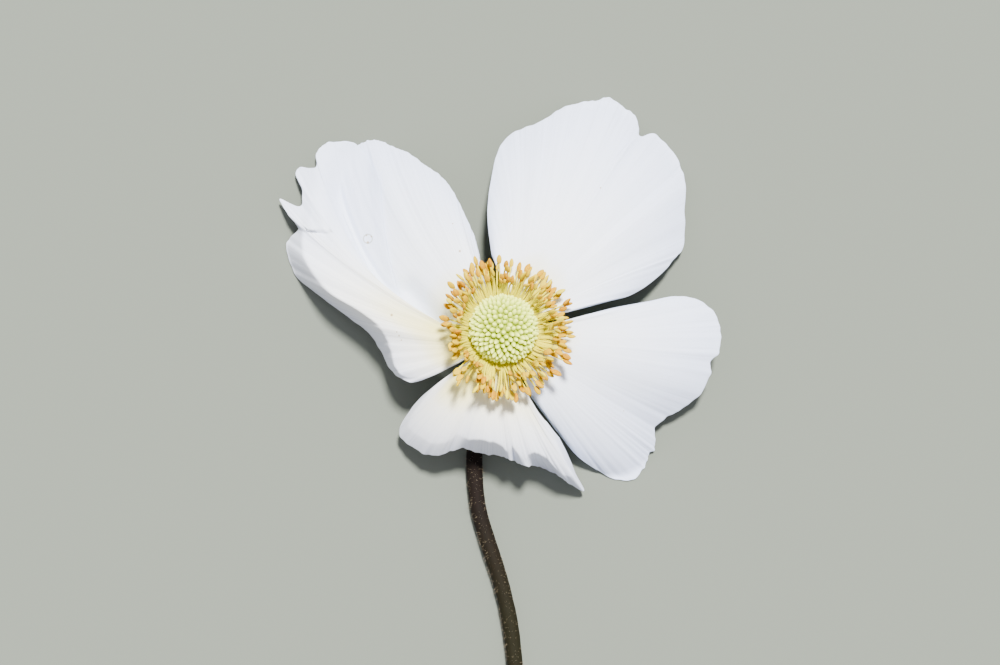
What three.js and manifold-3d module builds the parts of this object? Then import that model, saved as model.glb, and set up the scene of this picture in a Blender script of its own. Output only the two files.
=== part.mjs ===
// Snowdrop anemone (Anemone sylvestris): one open flower on its cut stalk, laid on a surface.
// The flower faces up, propped on the drooping tips of its tepals, and the stalk bends flat under it.
// Millimetres, +Z up. The origin is on the surface, under the middle of the whole flower.

import * as THREE from 'three';
import { ConvexGeometry } from 'three/addons/geometries/ConvexGeometry.js';
import { mergeVertices } from 'three/addons/utils/BufferGeometryUtils.js';
import Module from 'manifold-3d';

// ---- driving dimensions ----
const BLOOM = [0.7, 26.6];             // middle of the bloom from the origin
const HEAD = [-0.5, -0.4, 10.5];       // where the tepals spring, from the middle of the bloom
const LEAN = [0.156, 0.156];           // the flower's axis leans this much toward +X and +Y per mm up
const TEPAL_THICKNESS = 0.6;
const TEPAL_ROOT_RADIUS = 3.0;         // ring that the tepals spring from
const TEPAL_ROWS = 10;                 // cells from root to margin
const ROW_CROWDING = 1.35;             // above 1 the rows crowd toward the margin
const LIP = [3.0, 0.8];                // a turned-down margin starts to drop this far in, and ends
const PRESS_BLEND = 0.5;               // how softly a tepal flattens onto the surface
const EVENING = [1, 2, 3, 4, 3, 2, 1];  // weights that even out a margin's teeth further in
const STALK_RADIUS = 1.1;
const STALK_LIFT = 1.2;                // its middle line above the surface
const DISC_RADIUS = 2.55;              // top of the receptacle, inside the ring of tepals
const DISC_TOP = 0.85;                 // above the tepals' roots
const COLLAR = { inner: 2.95, outer: 4.6, bottom: 0.93, innerTop: 1.13, outerTop: 1.6 };
// Radius and height in the head's own frame, of the two ends and the bend of every filament.
// A filament ends ANTHER.seat short of the middle of its anther.
const FILAMENT = { thickness: 0.5, sides: 3, steps: 3, root: [4.15, 1.25], elbow: [5.85, 2.1] };
const ANTHER = { length: 1.6, radius: 0.45, sides: 4, seat: 0.5, inner: [6.3, 5.0], outer: [9.6, 3.3] };
// Every anther's bearing in degrees and its distance from the head's axis.
const ANTHERS = [
  [1, 8.1], [2, 7.1], [7, 7.7], [10, 6.3], [17, 6.7], [22, 9.2], [34, 9.2], [37, 6.3], [40, 6.4],
  [44, 7.1], [44, 8.7], [52, 6.9], [62, 7.5], [67, 8.0], [71, 7.5], [87, 8.0], [89, 8.6], [94, 9.3],
  [102, 7.6], [102, 9.0], [109, 8.9], [113, 9.8], [118, 9.2], [127, 8.3], [129, 7.4], [135, 8.2],
  [140, 7.1], [142, 9.1], [146, 8.1], [152, 7.7], [156, 8.8], [163, 7.6], [169, 7.6], [178, 8.2],
  [185, 7.8], [188, 6.7], [192, 7.8], [199, 7.6], [205, 7.5], [206, 8.2], [224, 6.8], [226, 8.1],
  [228, 9.0], [229, 9.6], [239, 7.0], [245, 9.2], [247, 7.8], [249, 8.6], [257, 8.1], [259, 6.5],
  [266, 8.2], [272, 9.0], [275, 7.4], [277, 8.2], [286, 6.8], [288, 7.6], [300, 7.4], [307, 8.2],
  [309, 6.8], [314, 6.6], [319, 9.1], [323, 7.4], [332, 9.6], [336, 7.3], [336, 9.2], [353, 9.1],
  [356, 7.3],
];
const PISTIL = { radius: 4.6, height: 3.9, under: 1.5, middle: 2.85, bead: 0.32, carpels: 270 };

const WHITE = new THREE.MeshStandardMaterial({ color: '#f2f3f7', roughness: 0.6, metalness: 0 });
const YELLOW = new THREE.MeshStandardMaterial({ color: '#eab23c', roughness: 0.7, metalness: 0 });
const PALE_GREEN = new THREE.MeshStandardMaterial({ color: '#cfe3a6', roughness: 0.6, metalness: 0 });
const STALK_BROWN = new THREE.MeshStandardMaterial({ color: '#6b5a44', roughness: 0.7, metalness: 0 });

// ---- tepals ----
// Each margin runs clockwise seen from above, as [x, y, height] from the middle of the bloom.
// A fourth number is the height of the crest just inside a margin that is turned down there.
// A height below zero presses that stretch flat on the surface.
// root is where its root starts and ends on the ring, in degrees. bow turns the starts of its two
// side edges, in degrees from their straight line. droop is how late the tepal falls, at both
// sides. lip takes the place of LIP. settled is how far its last side has sunk onto the tepal
// under it. Heights are evened out over neighbouring points, weighted by EVENING.
const TEPALS = [
  {
    name: 'tepal_upper_right', root: [78, 18], bow: [-14, 6], droop: [1.9, 1.9], belly: 0.5,
    margin: [
      [-1.6, 9.9, 9.0], [-2.2, 15.1, 7.4], [-1.9, 19.4, 6.0], [-1.1, 23.5, 4.4], [0.1, 26.1, 3.0],
      [2.5, 27.7, 2.0], [5.0, 28.6, 1.2], [7.2, 30.1, 0.4], [9.3, 31.1, -0.4], [11.7, 31.7, -0.9],
      [14.6, 32.0, -1.0], [16.5, 30.8, -0.9], [18.3, 29.4, -0.5], [18.8, 26.7, 0.4],
      [20.7, 27.1, 0.0], [22.8, 25.4, 0.0], [24.4, 22.9, 0.2], [25.1, 20.1, 0.6],
      [25.0, 15.9, 1.4], [24.6, 11.2, 2.6], [21.7, 7.7, 4.0], [17.8, 4.9, 5.6],
      [13.8, 3.7, 7.2], [9.7, 2.6, 8.6],
    ],
  },
  {
    name: 'tepal_right', root: [6, -54], bow: [-4, 5], droop: [1.7, 1.9], belly: 0.6,
    margin: [
      [9.8, 1.4, 9.2], [14.4, 2.7, 8.2], [19.6, 3.7, 7.0], [23.0, 4.4, 6.3], [25.5, 4.3, 5.7],
      [27.8, 3.3, 5.4], [29.3, 1.4, 5.3], [29.7, -0.8, 5.4], [29.5, -3.1, 5.2], [28.3, -4.5, 5.0],
      [28.2, -6.2, 4.6], [26.5, -8.8, 4.0], [24.2, -10.7, 3.4], [22.2, -11.8, 2.8],
      [20.6, -13.4, 2.0], [20.3, -15.3, 1.0], [20.0, -17.5, 0.1], [19.3, -19.3, -0.6],
      [18.1, -20.8, -0.9], [15.7, -20.9, -0.9], [13.3, -19.7, -0.2], [10.0, -17.3, 2.2],
      [6.7, -13.2, 5.4], [3.7, -9.2, 8.6],
    ],
  },
  {
    name: 'tepal_lower', root: [292, 233], bow: [-4, 0], droop: [2.2, 2.2], belly: 0.9, lip: [1.7, 0.1],
    margin: [
      [2.7, -9.5, 9.3], [5.8, -13.0, 8.2], [7.7, -15.8, 6.4, 7.6], [8.9, -18.0, 4.2, 7.2],
      [9.8, -20.1, 1.8, 5.6], [11.0, -22.3, -0.4, 1.0], [9.0, -21.4, 0.3, 4.6],
      [6.4, -19.7, 1.2, 7.2], [4.4, -18.9, 2.0, 7.9], [2.2, -18.3, 4.2, 7.8],
      [0.0, -17.5, 3.6, 8.6], [-1.9, -17.2, 3.9, 8.9], [-3.7, -16.9, 4.2, 9.1],
      [-5.5, -16.2, 4.0, 8.8], [-7.2, -16.6, 2.2, 7.8], [-8.9, -17.2, 0.6, 7.2],
      [-10.7, -17.1, -0.4, 6.8], [-12.8, -16.0, -0.4, 6.4], [-14.4, -14.4, 1.6, 6.2],
      [-13.4, -12.0, 4.6, 7.2], [-11.2, -9.3, 7.4, 8.2], [-8.4, -7.1, 9.2], [-6.8, -6.0, 9.7],
    ],
  },
  {
    name: 'tepal_left', root: [218.5, 160], bow: [7, 59], droop: [1.6, 1.9], belly: 0.3, lip: [3.8, 0.8],
    settled: 0.95,
    margin: [
      [-5.9, -4.3, 10.3], [-8.7, -5.7, 10.0], [-11.9, -7.1, 9.2], [-14.0, -6.7, 8.0, 8.6],
      [-15.9, -4.9, 4.8, 8.0], [-17.4, -2.1, 2.0, 7.6], [-19.2, 0.0, 0.8, 7.2],
      [-22.2, 2.2, 0.0, 6.6], [-25.8, 4.9, -0.4, 5.6], [-28.6, 7.2, -0.4, 4.6],
      [-30.0, 10.3, -0.2, 3.6], [-29.9, 12.4, 0.5, 2.8], [-28.3, 13.8, 1.9],
      [-29.7, 15.8, 2.2], [-31.0, 18.0, 1.8], [-28.2, 16.9, 2.8], [-27.8, 19.2, 3.0],
      [-28.7, 21.1, 2.6], [-28.4, 22.4, 2.5], [-26.1, 22.3, 3.0], [-25.9, 24.4, 2.7],
      [-24.9, 25.6, 2.5], [-23.1, 26.0, 2.3], [-20.6, 25.7, 2.5], [-18.6, 23.2, 3.2],
      [-17.1, 20.5, 4.1],
    ],
  },
  {
    name: 'tepal_upper_left', root: [148, 96], bow: [39, 8], droop: [1.0, 1.7], belly: 0.2,
    margin: [
      [-21.0, 13.0, 0.8], [-22.6, 17.2, 0.0], [-22.2, 21.6, -0.6], [-20.7, 24.8, -0.9],
      [-19.3, 26.2, -1.0], [-17.3, 26.2, -1.0], [-15.4, 25.3, -0.6], [-13.1, 24.3, 0.6],
      [-11.0, 22.7, 1.8], [-9.1, 21.4, 2.5], [-7.6, 19.8, 3.2], [-6.3, 17.6, 4.2],
      [-4.9, 14.6, 5.8], [-3.9, 12.1, 7.4], [-3.6, 9.6, 8.6],
    ],
  },
];

// ---- stalk: the middle line from under the head to the cut end, from the middle of the bloom ----
const STALK_BEND = [
  [-0.97, -0.87, 7.5], [-1.3, -1.5, 5.6], [-1.9, -3.5, 3.2], [-2.7, -7.6, 1.5],
];
const STALK_ON_SURFACE = [
  [-3.6, -13.0], [-4.1, -18.1], [-3.6, -24.4], [-2.2, -29.5], [-0.5, -34.8], [0.7, -39.9],
  [1.4, -45.1], [1.8, -51.0], [1.5, -59.0], [0.4, -68.0], [-1.4, -77.0], [-3.3, -85.0],
];
const STALK_PATH = [...STALK_BEND, ...STALK_ON_SURFACE.map(([x, y]) => [x, y, STALK_LIFT])];

const GOLDEN_ANGLE = Math.PI * (3 - Math.sqrt(5));

const wasm = await Module();
wasm.setup();

const radians = THREE.MathUtils.degToRad;
const lerp = THREE.MathUtils.lerp;
const axis = new THREE.Vector3(LEAN[0], LEAN[1], 1).normalize();
const headTurn = new THREE.Quaternion().setFromUnitVectors(new THREE.Vector3(0, 0, 1), axis);
const headMatrix = new THREE.Matrix4().compose(
  new THREE.Vector3(...HEAD), headTurn, new THREE.Vector3(1, 1, 1));

// A repeatable random number from 0 to 1 for each whole number.
function chance(seed) {
  const wave = Math.sin(seed * 12.9898 + 4.137) * 43758.5453;
  return wave - Math.floor(wave);
}

function spread(seed, low, high) {
  return lerp(low, high, chance(seed));
}

// The larger of two heights, rounded off where they meet.
function softMax(a, b, blend) {
  const overlap = Math.max(blend - Math.abs(a - b), 0) / blend;
  return Math.max(a, b) + overlap * overlap * blend / 4;
}

function toManifold(geometry) {
  const bare = geometry.clone();
  bare.deleteAttribute('normal');
  bare.deleteAttribute('uv');
  const merged = mergeVertices(bare, 1e-4);
  return new wasm.Manifold(new wasm.Mesh({
    numProp: 3,
    vertProperties: new Float32Array(merged.attributes.position.array),
    triVerts: new Uint32Array(merged.index.array),
  }));
}

function fromManifold(solid) {
  const mesh = solid.getMesh();
  const geometry = new THREE.BufferGeometry();
  geometry.setAttribute('position', new THREE.BufferAttribute(mesh.vertProperties, 3));
  geometry.setIndex(new THREE.BufferAttribute(mesh.triVerts, 1));
  return geometry;
}

function named(name, geometry, material) {
  const mesh = new THREE.Mesh(geometry, material);
  mesh.name = name;
  return mesh;
}

// One value of a tepal's margin, evened out over the neighbours of a whole or part column.
function evened(tepal, column, valueOf) {
  const last = tepal.margin.length - 1;
  const reach = (EVENING.length - 1) / 2;
  const around = (middle) => {
    let [sum, total] = [0, 0];
    EVENING.forEach((weight, k) => {
      sum += weight * valueOf(tepal.margin[THREE.MathUtils.clamp(middle + k - reach, 0, last)]);
      total += weight;
    });
    return sum / total;
  };
  const before = Math.min(Math.floor(column), last - 1);
  return lerp(around(before), around(before + 1), column - before);
}

const crestOf = (point) => point[3] ?? point[2];
const dropOf = (point) => crestOf(point) - point[2];
const reachOf = (point) => Math.hypot(point[0] - HEAD[0], point[1] - HEAD[1]) - TEPAL_ROOT_RADIUS;

// The middle surface of a tepal: column picks a point of its margin, and a curved ray runs
// to it from the root. out is 0 at the root and 1 at the margin.
function tepalPoint(tepal, column, out) {
  const columns = tepal.margin.length - 1;
  const before = Math.min(Math.floor(column), columns - 1);
  const part = column - before;
  const [from, to] = [tepal.margin[before], tepal.margin[before + 1]];
  const [x, y] = [0, 1].map((k) => lerp(from[k], to[k], part));
  const drop = lerp(dropOf(from), dropOf(to), part);
  const across = column / columns;

  const angle = radians(lerp(...tepal.root, across));
  const rootX = HEAD[0] + TEPAL_ROOT_RADIUS * Math.cos(angle);
  const rootY = HEAD[1] + TEPAL_ROOT_RADIUS * Math.sin(angle);
  const rootZ = HEAD[2] - LEAN[0] * (rootX - HEAD[0]) - LEAN[1] * (rootY - HEAD[1]);

  const length = Math.hypot(x - rootX, y - rootY);
  const bow = tepal.bow[0] * (1 - across) ** 3 + tepal.bow[1] * across ** 3;
  const heading = Math.atan2(y - rootY, x - rootX) + radians(bow);
  const middleX = rootX + 0.5 * length * Math.cos(heading);
  const middleY = rootY + 0.5 * length * Math.sin(heading);
  const [a, b, c] = [(1 - out) ** 2, 2 * out * (1 - out), out ** 2];

  const gone = out * length / evened(tepal, column, reachOf);
  const fall = gone ** lerp(tepal.droop[0], tepal.droop[1], across);
  const belly = tepal.belly * 6.75 * out ** 2 * (1 - out);
  const inside = rootZ + (evened(tepal, column, crestOf) - rootZ) * fall + belly;
  const [lipStart, lipFoot] = tepal.lip ?? LIP;
  const lip = 1 - THREE.MathUtils.smoothstep((1 - out) * length, lipFoot, lipStart);
  const settling = THREE.MathUtils.smoothstep(across, 0.8, 1)
    * THREE.MathUtils.smoothstep(out, 0.4, 0.75);
  const height = inside - drop * lip - (tepal.settled ?? 0) * settling;
  return new THREE.Vector3(
    a * rootX + b * middleX + c * x,
    a * rootY + b * middleY + c * y,
    softMax(height, TEPAL_THICKNESS / 2, PRESS_BLEND));
}

// A tepal is its middle surface, thickened by half its thickness to each side.
function tepalGeometry(tepal) {
  const columns = tepal.margin.length - 1;
  const step = 1e-3;
  const positions = [];
  for (const side of [1, -1]) {
    for (let i = 0; i <= columns; i++) {
      for (let j = 0; j <= TEPAL_ROWS; j++) {
        const out = 1 - (1 - j / TEPAL_ROWS) ** ROW_CROWDING;
        const point = tepalPoint(tepal, i, out);
        const alongMargin = tepalPoint(tepal, Math.min(i + 0.5, columns), out)
          .sub(tepalPoint(tepal, Math.max(i - 0.5, 0), out));
        const alongRay = tepalPoint(tepal, i, Math.min(out + step, 1))
          .sub(tepalPoint(tepal, i, Math.max(out - step, 0)));
        const normal = alongMargin.cross(alongRay).normalize();
        point.addScaledVector(normal, side * TEPAL_THICKNESS / 2);
        positions.push(point.x, point.y, point.z);
      }
    }
  }
  const layer = (columns + 1) * (TEPAL_ROWS + 1);
  const top = (i, j) => i * (TEPAL_ROWS + 1) + j;
  const index = [];
  for (let i = 0; i < columns; i++) {
    for (let j = 0; j < TEPAL_ROWS; j++) {
      const [a, b, c, d] = [top(i, j), top(i + 1, j), top(i + 1, j + 1), top(i, j + 1)];
      index.push(a, b, c, a, c, d);
      index.push(a + layer, c + layer, b + layer, a + layer, d + layer, c + layer);
    }
  }
  const rim = [];
  for (let i = 0; i < columns; i++) rim.push(top(i, 0));
  for (let j = 0; j < TEPAL_ROWS; j++) rim.push(top(columns, j));
  for (let i = columns; i > 0; i--) rim.push(top(i, TEPAL_ROWS));
  for (let j = TEPAL_ROWS; j > 0; j--) rim.push(top(0, j));
  rim.forEach((a, k) => {
    const b = rim[(k + 1) % rim.length];
    index.push(a + layer, b + layer, b, a + layer, b, a);
  });
  const geometry = new THREE.BufferGeometry();
  geometry.setAttribute('position', new THREE.Float32BufferAttribute(positions, 3));
  geometry.setIndex(index);
  return geometry;
}

// The receptacle widens from the stalk to a disc that stands just inside the ring of tepals.
function receptacle() {
  const profile = [
    [0, -4.0], [STALK_RADIUS * 0.98, -4.0], [STALK_RADIUS * 1.15, -2.6], [1.9, -1.5],
    [DISC_RADIUS - 0.1, -0.8], [DISC_RADIUS, -0.3], [DISC_RADIUS, DISC_TOP - 0.25],
    [DISC_RADIUS - 0.35, DISC_TOP], [0, DISC_TOP],
  ].map(([r, h]) => new THREE.Vector2(r, h));
  const geometry = new THREE.LatheGeometry(profile, 14);
  geometry.rotateX(Math.PI / 2);
  geometry.applyMatrix4(headMatrix);
  return geometry;
}

function stalk() {
  const path = new THREE.CatmullRomCurve3(STALK_PATH.map((p) => new THREE.Vector3(...p)));
  const sides = 8;
  const section = new THREE.Shape();
  for (let k = 0; k < sides; k++) {
    const angle = (k + 0.5) * 2 * Math.PI / sides;
    const radius = STALK_RADIUS / Math.cos(Math.PI / sides);
    const [x, y] = [radius * Math.cos(angle), radius * Math.sin(angle)];
    k === 0 ? section.moveTo(x, y) : section.lineTo(x, y);
  }
  section.closePath();
  return new THREE.ExtrudeGeometry(section, { steps: 46, bevelEnabled: false, extrudePath: path });
}

// One stamen in the head's own frame: a three-sided filament bent outward, and its anther.
function stamen(number) {
  const [bearing, reach] = ANTHERS[number];
  const turn = radians(bearing);
  const outer = (reach - ANTHER.inner[0]) / (ANTHER.outer[0] - ANTHER.inner[0]);
  const tipHeight = lerp(ANTHER.inner[1], ANTHER.outer[1], outer) + spread(number + 200, -0.4, 0.4);
  const radial = new THREE.Vector3(Math.cos(turn), Math.sin(turn), 0);
  const at = (radius, height, side) => new THREE.Vector3(
    radial.x * radius - radial.y * side, radial.y * radius + radial.x * side, height);
  const path = new THREE.QuadraticBezierCurve3(
    at(...FILAMENT.root, spread(number + 300, -0.35, 0.35)),
    at(...FILAMENT.elbow, spread(number + 500, -0.3, 0.3)),
    at(reach - ANTHER.seat, tipHeight, 0));
  const section = new THREE.Shape();
  for (let k = 0; k < FILAMENT.sides; k++) {
    const angle = k * 2 * Math.PI / FILAMENT.sides;
    const radius = FILAMENT.thickness / 1.5;
    const [x, y] = [radius * Math.cos(angle), radius * Math.sin(angle)];
    k === 0 ? section.moveTo(x, y) : section.lineTo(x, y);
  }
  section.closePath();
  const filament = new THREE.ExtrudeGeometry(
    section, { steps: FILAMENT.steps, bevelEnabled: false, extrudePath: path });

  const half = ANTHER.length / 2;
  const outline = [[0, -half], [ANTHER.radius, -half * 0.45], [ANTHER.radius, half * 0.45], [0, half]]
    .map(([r, h]) => new THREE.Vector2(r, h));
  const anther = new THREE.LatheGeometry(outline, ANTHER.sides);
  const pointing = path.getTangent(1).addScaledVector(radial, spread(number + 400, -0.15, 0.45))
    .normalize();
  anther.applyQuaternion(new THREE.Quaternion()
    .setFromUnitVectors(new THREE.Vector3(0, 1, 0), pointing));
  const place = path.getPoint(1).addScaledVector(pointing, half * 0.8);
  anther.translate(place.x, place.y, place.z);
  return toManifold(filament).add(toManifold(anther));
}

// All stamens stand on a collar under the pistils' rim.
function stamens() {
  const profile = [
    [COLLAR.inner, COLLAR.bottom], [COLLAR.outer, COLLAR.bottom], [COLLAR.outer, COLLAR.outerTop],
    [COLLAR.inner, COLLAR.innerTop], [COLLAR.inner, COLLAR.bottom],
  ].map(([r, h]) => new THREE.Vector2(r, h));
  const collar = new THREE.LatheGeometry(profile, 24);
  collar.rotateX(Math.PI / 2);
  let solid = toManifold(collar);
  ANTHERS.forEach((_, number) => { solid = solid.add(stamen(number)); });
  return fromManifold(solid);
}

// The pistils: carpels packed in the golden spiral over a dome, each raised to a blunt bead.
function pistilHead() {
  const seats = [];
  for (let k = 0; k < PISTIL.carpels; k++) {
    const up = 1 - 2 * (k + 0.5) / PISTIL.carpels;
    const ring = Math.sqrt(1 - up * up);
    seats.push(new THREE.Vector3(
      ring * Math.cos(k * GOLDEN_ANGLE), ring * Math.sin(k * GOLDEN_ANGLE), up));
  }
  const place = (unit, raise) => {
    const height = unit.z > 0 ? PISTIL.height : PISTIL.under;
    const swell = 1 + (unit.z > -0.15 ? raise : 0) / PISTIL.radius;
    return new THREE.Vector3(
      unit.x * PISTIL.radius * swell,
      unit.y * PISTIL.radius * swell,
      PISTIL.middle + unit.z * height * swell);
  };
  const hull = new ConvexGeometry(seats).attributes.position;
  const positions = [];
  for (let k = 0; k < hull.count; k += 3) {
    const corners = [0, 1, 2].map((n) => new THREE.Vector3().fromBufferAttribute(hull, k + n));
    const dip = new THREE.Vector3().add(corners[0]).add(corners[1]).add(corners[2]).normalize();
    for (let n = 0; n < 3; n++) {
      const triangle = [
        place(corners[n], PISTIL.bead),
        place(corners[(n + 1) % 3], PISTIL.bead),
        place(dip, -PISTIL.bead),
      ];
      triangle.forEach((p) => positions.push(p.x, p.y, p.z));
    }
  }
  const geometry = new THREE.BufferGeometry();
  geometry.setAttribute('position', new THREE.Float32BufferAttribute(positions, 3));
  return mergeVertices(geometry, 1e-4);
}

// ---- the flower ----
const flower = new THREE.Group();
const bloom = new THREE.Group();
bloom.position.set(BLOOM[0], BLOOM[1], 0);
flower.add(bloom);

const stalkSolid = toManifold(stalk()).add(toManifold(receptacle()));
bloom.add(named('stalk', fromManifold(stalkSolid), STALK_BROWN));
for (const tepal of TEPALS) bloom.add(named(tepal.name, tepalGeometry(tepal), WHITE));

const head = new THREE.Group();
head.position.set(...HEAD);
head.quaternion.copy(headTurn);
head.add(named('stamens', stamens(), YELLOW));
head.add(named('pistil_head', pistilHead(), PALE_GREEN));
bloom.add(head);

export default flower;
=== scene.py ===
# %% [markdown]
# # A snowdrop anemone, picked and laid face up
#
# *Anemone sylvestris* has no true petals. Five white tepals open round a ring of yellow stamens,
# and the stamens stand round a green dome of pistils. Picked and put down, the flower props itself
# on the tips of its tepals, and its soft stalk bends flat under it.
#
# The solid model of the flower is loaded first. It fixes the size and the place of every piece, and
# each piece here is a finer one that stands exactly where its solid is.

# %% Load the solid model
import math

import bmesh
import bpy
import numpy as np
from mathutils import Matrix, Vector
from mathutils.bvhtree import BVHTree
from mathutils.geometry import barycentric_transform


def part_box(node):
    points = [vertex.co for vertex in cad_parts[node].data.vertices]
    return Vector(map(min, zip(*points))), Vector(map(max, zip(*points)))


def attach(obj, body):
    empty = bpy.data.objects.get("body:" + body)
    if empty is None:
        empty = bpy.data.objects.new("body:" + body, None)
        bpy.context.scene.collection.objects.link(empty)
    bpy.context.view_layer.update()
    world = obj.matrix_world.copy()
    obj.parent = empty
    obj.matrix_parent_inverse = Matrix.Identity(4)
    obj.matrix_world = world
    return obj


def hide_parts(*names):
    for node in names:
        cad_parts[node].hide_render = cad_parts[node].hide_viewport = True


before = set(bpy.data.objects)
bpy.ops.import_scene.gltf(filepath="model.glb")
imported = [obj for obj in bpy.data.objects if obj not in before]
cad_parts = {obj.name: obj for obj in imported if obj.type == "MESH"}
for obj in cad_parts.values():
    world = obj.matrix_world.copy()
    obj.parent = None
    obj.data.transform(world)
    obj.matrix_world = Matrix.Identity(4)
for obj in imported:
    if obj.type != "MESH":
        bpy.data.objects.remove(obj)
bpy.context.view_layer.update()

for node in sorted(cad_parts):
    low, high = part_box(node)
    print(node, "is", [round(1000 * (b - a), 1) for a, b in zip(low, high)], "mm")

# %% [markdown]
# ## Where the flower is
#
# All sizes below are in millimetres, and Blender works in metres, so one constant turns one into
# the other. The bloom has a middle, from which its tepals and stalk are drawn. The head, which holds
# the stamens and pistils, has a frame of its own, because a flower rarely looks straight up: its
# axis leans a little to the right and a little away.

# %% The bloom's and the head's frames
MM = 0.001
BLOOM = np.array([0.7, 26.6, 0.0])     # the middle of the bloom, on the table
HEAD = np.array([-0.5, -0.4, 10.5])    # where the tepals spring, from the middle of the bloom
LEAN = np.array([0.156, 0.156])        # how far the head's axis leans right and away, per mm up

lean_axis = Vector((*LEAN, 1)).normalized()
head_turn = Vector((0, 0, 1)).rotation_difference(lean_axis).to_matrix()
head_frame = Matrix.Translation(BLOOM + HEAD) @ head_turn.to_4x4()
print("the head leans", round(math.degrees(Vector((0, 0, 1)).angle(lean_axis)), 1), "degrees")


def from_head(point):
    """A point of the head's own frame, in the flower's frame, both in millimetres."""
    return np.array(head_frame @ Vector(point))


# %% [markdown]
# ## The camera
#
# The flower faces up, so the camera looks straight down on it, with the stalk running to the near
# edge. A wide lens would have to stand so close that the head would hide the tepals' roots. With a
# long lens the camera stands well back, and the tepals keep their true outlines. Its distance
# follows from the wanted scale.

# %% Camera
PIXELS_PER_MM = 7.4
IMAGE_WIDTH = 1000
LENS, SENSOR = 100.0, 36.0
VIEW_MIDDLE = BLOOM + [-0.54, -0.47, 10.5]    # beside the head, level with the tepals' roots

distance = IMAGE_WIDTH * LENS / (SENSOR * PIXELS_PER_MM)
camera_data = bpy.data.cameras.new("camera")
camera_data.lens, camera_data.sensor_width = LENS, SENSOR
camera = bpy.data.objects.new("camera", camera_data)
camera.location = (VIEW_MIDDLE + [0, 0, distance]) * MM
bpy.context.scene.collection.objects.link(camera)
bpy.context.scene.camera = camera
print("the camera is", round(distance), "mm above the bloom")

# %% [markdown]
# ## A tepal's shape
#
# A tepal is a thin blade that springs from a narrow root on the head and widens like a fan. It
# could be sculpted, or cut from a subdivided plane. But its veins fan out from the root as well,
# so it is built the way it grows: a curved ray runs from the root to each point of the margin,
# and everything on the blade is placed by how far it is *across* the fan and how far *out*.
#
# Each margin is listed clockwise as x, y and height from the middle of the bloom. Where it is
# turned down, a fourth number is the height of the crest just inside, and a fifth is how wide the
# turned-down lip is. A height below zero means that the stretch would reach below the table, so it
# rests there. The root lists the bearings of its two ends, and bow is how many degrees the first
# and the last ray set out to the side. Droop is how late the two sides begin to fall, belly how
# much the middle stands up, and warmth how creamy the white is on the two sides. A warmth above 1
# is as creamy as 1, and reaches further across.
#
# The left tepal laps over the one above it and rests on it. A crease, such as where its torn tip
# curls over, lists the two ends of its line, how proud its left side stands, and how far back that
# reaches. A dip lists the two ends of its line, how deep it is and how wide. The right tepal has
# weaker folds than the rest.

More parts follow.
